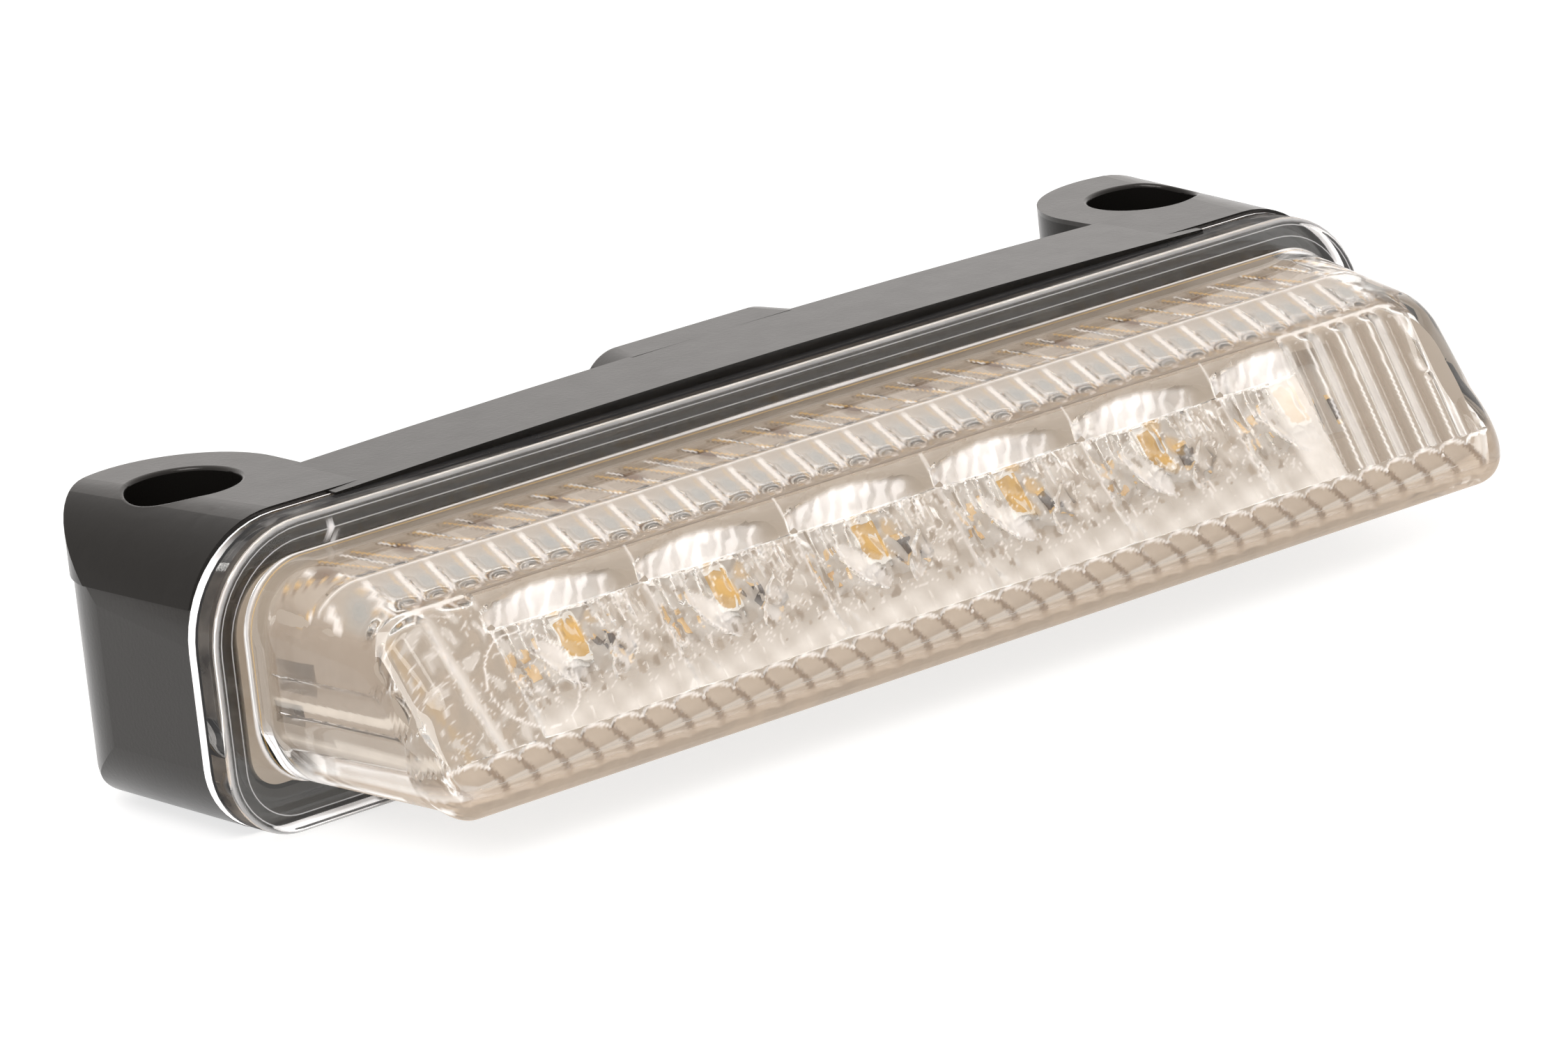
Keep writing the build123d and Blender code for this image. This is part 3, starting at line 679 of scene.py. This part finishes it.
def inner_bowl():
    """The inside of the bowl with its optics, and the light it catches."""
    inner, travel, upper = bowl_rings(WALL, LENS_BACK, INNER_STEPS)
    normal = grid_normals(inner)
    flip = np.sign(np.sum((INSIDE_POINT - inner) * normal, axis=2, keepdims=True))
    normal = normal * np.where(flip == 0, 1, flip)
    depth, light = optics(inner, normal, travel, upper)
    return inner + normal * depth[..., None], light


def outer_bowl():
    """The plain outside of the bowl, with painted sand-coloured light on the nose and painted pale light
    at its low end at -X.
    """
    outer, _, _ = bowl_rings(0, FLANGE_FRONT - ROOT_FILLET, OUTER_STEPS)
    light = no_light(outer.shape[:2])
    x, y, z = outer[..., 0], outer[..., 1], outer[..., 2]
    catch(light, 0.7 * nose_part(x, y, z), SAND)
    catch(light, 0.8 * nose_part(x, y, z) * band(z, 6.7, 6.9, 0.15), CREAM)
    # Painted pale light at the low end at -X.
    low_end = smooth_step(-x, 59, 62) * (1 - smooth_step(z, 6, 9)) * smooth_step(-y, 20, 22)
    catch(light, 0.75 * low_end, PALE_LIGHT)
    return outer, light


def skin(name, chain, light):
    """One closed, smooth mesh over a chain of rings, with the light it catches as colours."""
    count, size = chain.shape[:2]
    vertices = (chain.reshape(-1, 3) * MM).tolist()
    faces = []
    for j in range(count - 1):
        for i in range(size):
            k = (i + 1) % size
            faces.append((j * size + i, j * size + k, (j + 1) * size + k, (j + 1) * size + i))
    mesh = bpy.data.meshes.new(name)
    mesh.from_pydata(vertices, [], faces)
    layer = mesh.attributes.new("caught_light", "FLOAT_COLOR", "POINT")
    layer.data.foreach_set("color", light.ravel().astype(np.float32))
    shape = bmesh.new()
    shape.from_mesh(mesh)
    bmesh.ops.remove_doubles(shape, verts=shape.verts, dist=WELD)
    bmesh.ops.dissolve_degenerate(shape, dist=THINNEST, edges=shape.edges)
    bmesh.ops.recalc_face_normals(shape, faces=shape.faces)
    shape.to_mesh(mesh)
    shape.free()
    mesh.polygons.foreach_set("use_smooth", [True] * len(mesh.polygons))
    mesh.set_sharp_from_angle(angle=math.radians(SHARP_ANGLE))
    return mesh


def build_lens():
    """The clear lens: inner bowl, back face with tongue, flange edge, front face, outer bowl."""
    inner, inner_light = inner_bowl()
    outer, outer_light = outer_bowl()
    flange, flange_light = flange_chain(outer)
    chain = np.concatenate([inner[::-1], flange, outer[1:]])
    light = np.concatenate([inner_light[::-1], flange_light, outer_light[1:]])
    return link("clear_lens", skin("clear_lens", chain, light))


# --- Materials ---------------------------------------------------------------------------------------
def new_material(name):
    """A node material with an empty tree."""
    material = bpy.data.materials.new(name)
    material.use_nodes = True
    tree = material.node_tree
    tree.nodes.clear()
    return material, tree


def add(tree, kind, **settings):
    """A new node, with each setting put on the input of that name or on the node itself."""
    node = tree.nodes.new(kind)
    for key, value in settings.items():
        if key in node.inputs:
            node.inputs[key].default_value = value
        else:
            setattr(node, key, value)
    return node


def rgb(colour):
    """The colour with full alpha."""
    return (*colour, 1.0)


def noise_between(tree, scale, low, high, detail=4.0):
    """A noise field mapped to the range low to high, in object space."""
    place = add(tree, "ShaderNodeTexCoord")
    noise = add(tree, "ShaderNodeTexNoise", Scale=scale, Detail=detail)
    tree.links.new(place.outputs["Object"], noise.inputs["Vector"])
    fit = add(tree, "ShaderNodeMapRange")
    fit.inputs["To Min"].default_value = low
    fit.inputs["To Max"].default_value = high
    tree.links.new(noise.outputs["Fac"], fit.inputs["Value"])
    return fit.outputs["Result"]


def moulded(name, light, dark, rough, grain_scale, grain):
    """Moulded plastic, rubber or resin: two close tones, uneven gloss and a fine surface grain."""
    material, tree = new_material(name)
    out = add(tree, "ShaderNodeOutputMaterial")
    body = add(tree, "ShaderNodeBsdfPrincipled")
    blend = add(tree, "ShaderNodeMix", data_type="RGBA")
    blend.inputs["A"].default_value = rgb(dark)
    blend.inputs["B"].default_value = rgb(light)
    tree.links.new(noise_between(tree, 180, 0.1, 0.9), blend.inputs["Factor"])
    tree.links.new(blend.outputs["Result"], body.inputs["Base Color"])
    tree.links.new(noise_between(tree, 320, rough - 0.05, rough + 0.05), body.inputs["Roughness"])
    bump = add(tree, "ShaderNodeBump", Strength=grain, Distance=0.00005)
    tree.links.new(noise_between(tree, grain_scale, 0, 1, 2.0), bump.inputs["Height"])
    tree.links.new(bump.outputs["Normal"], body.inputs["Normal"])
    tree.links.new(body.outputs["BSDF"], out.inputs["Surface"])
    return material


def clear_plastic():
    """Clear polished plastic. Its optics catch tinted light, and direct light reaches the insides."""
    material, tree = new_material("clear_plastic")
    out = add(tree, "ShaderNodeOutputMaterial")
    glass = add(tree, "ShaderNodeBsdfGlass", IOR=1.5, Roughness=0.0)
    glass.inputs["Color"].default_value = (0.985, 0.98, 0.97, 1)
    bump = add(tree, "ShaderNodeBump", Strength=0.03, Distance=0.00004)
    tree.links.new(noise_between(tree, 420, 0, 1, 2.0), bump.inputs["Height"])
    tree.links.new(bump.outputs["Normal"], glass.inputs["Normal"])
    # The caught light is painted on: diffuse and translucent shading in the painted colours, laid over
    # the glass by the painted amount.
    caught = add(tree, "ShaderNodeAttribute", attribute_name="caught_light")
    white = add(tree, "ShaderNodeBsdfTranslucent")
    face = add(tree, "ShaderNodeBsdfDiffuse")
    painted_light_shader = add(tree, "ShaderNodeAddShader")
    tree.links.new(caught.outputs["Color"], white.inputs["Color"])
    tree.links.new(caught.outputs["Color"], face.inputs["Color"])
    tree.links.new(white.outputs["BSDF"], painted_light_shader.inputs[0])
    tree.links.new(face.outputs["BSDF"], painted_light_shader.inputs[1])
    uneven = add(tree, "ShaderNodeMath", operation="MULTIPLY")
    tree.links.new(caught.outputs["Alpha"], uneven.inputs[0])
    tree.links.new(noise_between(tree, 260, 0.5, 1.25), uneven.inputs[1])
    body = add(tree, "ShaderNodeMixShader")
    tree.links.new(uneven.outputs[0], body.inputs["Fac"])
    tree.links.new(glass.outputs["BSDF"], body.inputs[1])
    tree.links.new(painted_light_shader.outputs["Shader"], body.inputs[2])
    through = add(tree, "ShaderNodeBsdfTransparent")
    through.inputs["Color"].default_value = (0.96, 0.955, 0.945, 1)
    path = add(tree, "ShaderNodeLightPath")
    either = add(tree, "ShaderNodeMath", operation="MAXIMUM")
    tree.links.new(path.outputs["Is Shadow Ray"], either.inputs[0])
    tree.links.new(path.outputs["Is Diffuse Ray"], either.inputs[1])
    mix = add(tree, "ShaderNodeMixShader")
    tree.links.new(either.outputs[0], mix.inputs["Fac"])
    tree.links.new(body.outputs["Shader"], mix.inputs[1])
    tree.links.new(through.outputs["BSDF"], mix.inputs[2])
    tree.links.new(mix.outputs["Shader"], out.inputs["Surface"])
    return material


def housing_plastic():
    """Black moulded plastic, less glossy on the ears' sides between the seam and the top."""
    black = moulded("black_plastic", (0.0095, 0.0088, 0.008), (0.0065, 0.0058, 0.005), 0.24, 2600, 0.2)
    tree = black.node_tree
    body = next(node for node in tree.nodes if node.type == "BSDF_PRINCIPLED")
    body.inputs["Specular Tint"].default_value = (1.0, 0.955, 0.92, 1)
    place = add(tree, "ShaderNodeTexCoord")
    split = add(tree, "ShaderNodeSeparateXYZ")
    inside = add(tree, "ShaderNodeMath", operation="COMPARE")
    inside.inputs[1].default_value = (SEAM_HEIGHT + EAR_SIDE_TOP) / 2 * MM
    inside.inputs[2].default_value = (EAR_SIDE_TOP - SEAM_HEIGHT) / 2 * MM
    level = add(tree, "ShaderNodeMapRange")
    level.inputs["To Min"].default_value = 0.38
    level.inputs["To Max"].default_value = 0.18
    tree.links.new(place.outputs["Object"], split.inputs["Vector"])
    tree.links.new(split.outputs["Z"], inside.inputs[0])
    tree.links.new(inside.outputs["Value"], level.inputs["Value"])
    tree.links.new(level.outputs["Result"], body.inputs["Specular IOR Level"])
    return black


def metal(name, colour, rough):
    """Plated or bare metal with uneven gloss."""
    material, tree = new_material(name)
    out = add(tree, "ShaderNodeOutputMaterial")
    body = add(tree, "ShaderNodeBsdfPrincipled", Metallic=1.0)
    blend = add(tree, "ShaderNodeMix", data_type="RGBA")
    blend.inputs["A"].default_value = rgb([c * 0.7 for c in colour])
    blend.inputs["B"].default_value = rgb(colour)
    tree.links.new(noise_between(tree, 900, 0, 1), blend.inputs["Factor"])
    tree.links.new(blend.outputs["Result"], body.inputs["Base Color"])
    tree.links.new(noise_between(tree, 700, rough - 0.08, rough + 0.1), body.inputs["Roughness"])
    tree.links.new(body.outputs["BSDF"], out.inputs["Surface"])
    return material


def dress(node, material):
    """Puts one material on a CAD node."""
    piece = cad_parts[node]
    piece.data.materials.clear()
    piece.data.materials.append(material)


def dress_cad_nodes():
    """Every CAD node that stays visible gets its material."""
    black = housing_plastic()
    bead = moulded("weld_bead", (0.014, 0.015, 0.015), (0.008, 0.009, 0.009), 0.25, 1500, 0.3)
    cream = moulded("cream_plastic", (0.41, 0.345, 0.28), (0.35, 0.29, 0.235), 0.35, 1200, 0.2)
    board = moulded("board_white", (0.50, 0.45, 0.40), (0.43, 0.385, 0.34), 0.4, 1800, 0.25)
    white = moulded("led_white", (0.78, 0.75, 0.71), (0.70, 0.67, 0.62), 0.35, 1500, 0.15)
    amber = moulded("amber_fill", (0.68, 0.43, 0.12), (0.42, 0.23, 0.05), 0.2, 2200, 0.3)
    tin = metal("tinned_metal", (0.78, 0.77, 0.75), 0.3)
    resistor = moulded("resistor_black", (0.07, 0.05, 0.04), (0.04, 0.03, 0.025), 0.4, 2500, 0.3)
    gold = metal("gold_plate", (0.85, 0.60, 0.30), 0.25)
    chip = moulded("chip_black", (0.03, 0.03, 0.032), (0.02, 0.02, 0.02), 0.5, 2600, 0.4)
    tan = moulded("capacitor_tan", (0.50, 0.36, 0.22), (0.42, 0.30, 0.18), 0.4, 2500, 0.3)
    red = moulded("wire_red", (0.50, 0.03, 0.02), (0.40, 0.02, 0.015), 0.35, 900, 0.15)
    core = moulded("wire_black", (0.03, 0.03, 0.03), (0.02, 0.02, 0.02), 0.35, 900, 0.15)
    copper = metal("copper", (0.82, 0.45, 0.28), 0.3)
    sheath = moulded("cable_black", (0.028, 0.028, 0.028), (0.02, 0.02, 0.02), 0.45, 700, 0.3)
    rubber = moulded("rubber_black", (0.022, 0.022, 0.022), (0.016, 0.016, 0.016), 0.55, 1500, 0.4)
    resin = moulded("potting_resin", (0.05, 0.048, 0.045), (0.035, 0.033, 0.03), 0.15, 400, 0.2)
    nylon = moulded("nylon_black", (0.03, 0.03, 0.03), (0.022, 0.022, 0.022), 0.4, 1500, 0.2)
    pairs = {
        "housing": black,
        "lens_weld_bead": bead,
        "reflector_tray": cream,
        "led_board": board,
        "led_bodies": white,
        "led_phosphor_fills": amber,
        "led_terminals": tin,
        "chip_resistors": resistor,
        "board_pads": gold,
        "current_regulators": chip,
        "polarity_diode": chip,
        "surge_suppressor": chip,
        "filter_capacitors": tan,
        "solder_joints": tin,
        "positive_wire": red,
        "negative_wire": core,
        "stripped_wire_ends": copper,
        "cable_sheath": sheath,
        "cable_grommet": rubber,
        "cable_potting": resin,
        "cable_tie": nylon,
    }
    for node, material in pairs.items():
        dress(node, material)


# --- Stage, light and camera ---------------------------------------------------------------------------
def make_stage():
    """A white light table, which softens the shadow under the lamp."""
    far = 6.0
    gap = 0.0002
    mesh = bpy.data.meshes.new("floor")
    ground = cad_low.z - gap
    corners = [(-far, -far, ground), (far, -far, ground), (far, far, ground), (-far, far, ground)]
    mesh.from_pydata(corners, [], [(0, 1, 2, 3)])
    floor = link("floor", mesh)
    material, tree = new_material("floor_paint")
    out = add(tree, "ShaderNodeOutputMaterial")
    paint = add(tree, "ShaderNodeBsdfPrincipled", Roughness=0.6)
    paint.inputs["Base Color"].default_value = (0.34, 0.34, 0.34, 1)
    paint.inputs["Emission Color"].default_value = (1, 1, 1, 1)
    paint.inputs["Emission Strength"].default_value = 0.73
    tree.links.new(noise_between(tree, 40, 0.55, 0.65), paint.inputs["Roughness"])
    tree.links.new(paint.outputs["BSDF"], out.inputs["Surface"])
    mesh.materials.append(material)


def softbox(name, place, target, size, power):
    """A rectangular lamp at a place, turned towards its target."""
    data = bpy.data.lights.new(name, "AREA")
    data.shape = "RECTANGLE"
    data.size, data.size_y = size
    data.energy = power
    lamp = bpy.data.objects.new(name, data)
    lamp.location = place
    lamp.rotation_euler = (Vector(target) - Vector(place)).to_track_quat("-Z", "Y").to_euler()
    bpy.context.scene.collection.objects.link(lamp)


def make_light():
    """A bright cyclorama behind, softer light from the front, and one large key above."""
    world = bpy.data.worlds.new("studio")
    world.use_nodes = True
    tree = world.node_tree
    place = add(tree, "ShaderNodeTexCoord")
    towards = add(tree, "ShaderNodeVectorMath", operation="DOT_PRODUCT")
    towards.inputs[1].default_value = (0.35, 0.80, 0.48)
    fit = add(tree, "ShaderNodeMapRange")
    fit.inputs["From Min"].default_value = -0.6
    fit.inputs["From Max"].default_value = 0.8
    fit.inputs["To Min"].default_value = 0.62
    fit.inputs["To Max"].default_value = 1.25
    tree.links.new(place.outputs["Generated"], towards.inputs[0])
    tree.links.new(towards.outputs["Value"], fit.inputs["Value"])
    tree.links.new(fit.outputs["Result"], tree.nodes["Background"].inputs["Strength"])
    tree.nodes["Background"].inputs["Color"].default_value = (1, 0.965, 0.94, 1)
    bpy.context.scene.world = world
    softbox("key", (-0.5, -0.35, 0.8), (0, -0.02, 0.01), (0.5, 0.5), 5.0)


def make_camera():
    """The camera stands to the left, a little above, and leans a few degrees."""
    azimuth, elevation, lean = (math.radians(a) for a in (-37.76, 15.30, 6.10))
    distance = 0.80077
    shift_right, shift_up = 0.002074, 0.014531
    data = bpy.data.cameras.new("camera")
    data.lens = 202.4
    data.sensor_width = 36.0
    camera = bpy.data.objects.new("camera", data)
    bpy.context.scene.collection.objects.link(camera)
    back = Vector(
        (
            math.sin(azimuth) * math.cos(elevation),
            -math.cos(azimuth) * math.cos(elevation),
            math.sin(elevation),
        )
    )
    level = Vector((math.cos(azimuth), math.sin(azimuth), 0))
    upright = back.cross(level)
    right = level * math.cos(lean) - upright * math.sin(lean)
    up = level * math.sin(lean) + upright * math.cos(lean)
    anchor = Vector((0, FLANGE_FRONT * MM, FLANGE_TOP * MM))
    place = anchor - right * shift_right - up * shift_up + back * distance
    camera.matrix_world = Matrix(
        (
            (right.x, up.x, back.x, place.x),
            (right.y, up.y, back.y, place.y),
            (right.z, up.z, back.z, place.z),
            (0, 0, 0, 1),
        )
    )
    data.clip_start = 0.01
    bpy.context.scene.camera = camera


def set_scene():
    """Plain colours, and enough bounces for light to pass through the lens."""
    scene = bpy.context.scene
    scene.view_settings.view_transform = "Standard"
    scene.cycles.max_bounces = 24
    scene.cycles.transmission_bounces = 20
    scene.cycles.transparent_max_bounces = 24
    scene.cycles.glossy_bounces = 8
    scene.cycles.diffuse_bounces = 4


dress_cad_nodes()
lens = build_lens()
lens.data.materials.append(clear_plastic())
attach(lens, "root")
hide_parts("lens")
make_stage()
make_light()
make_camera()
set_scene()
